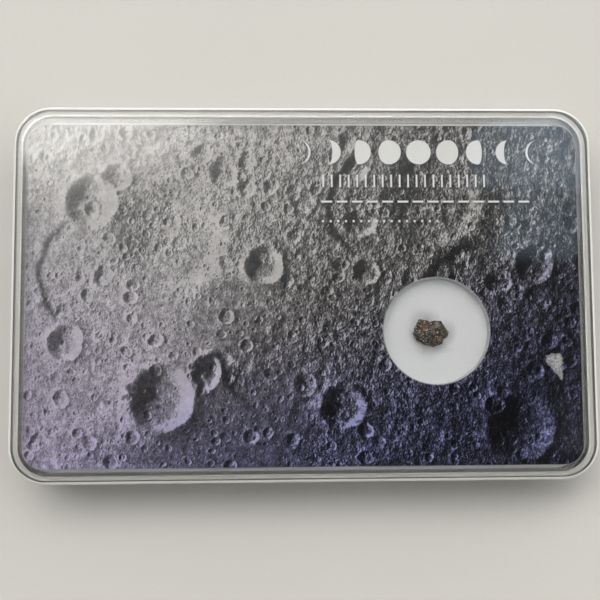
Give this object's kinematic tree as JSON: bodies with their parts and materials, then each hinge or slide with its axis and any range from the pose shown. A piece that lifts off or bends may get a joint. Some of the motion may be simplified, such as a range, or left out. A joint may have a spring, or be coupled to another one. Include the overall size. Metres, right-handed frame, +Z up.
{
  "type": "lunar meteorite display",
  "caption": "Flat clear plastic case holding a small dark stone fragment on white foam, seen through a round window in a board printed with a cratered moonscape.",
  "frame": {"origin": "centre of the case's flat underside", "axes": "+X along the case's long side, to the right of the printed face; +Y along its short side, to the printed face's top; +Z up, out of the lid"},
  "size_m": [0.0888, 0.0572, 0.0085],
  "materials": {
    "clear_base": "clear moulded polystyrene, polished, with light handling scratches",
    "clear_lid": "clear moulded polystyrene, polished, with light handling scratches",
    "white_foam": "white fine-celled foam sheet, matte",
    "printed_board": "white-cored board, its face printed with a grey cratered moonscape, satin",
    "stone": "rough dark grey-brown breccia with pale and rust-red clasts, matte"
  },
  "bodies": {
    "root": {"case_base": "clear_base", "case_lid": "clear_lid", "foam_pad": "white_foam", "printed_board": "printed_board", "meteorite": "stone"}
  },
  "joints": []
}
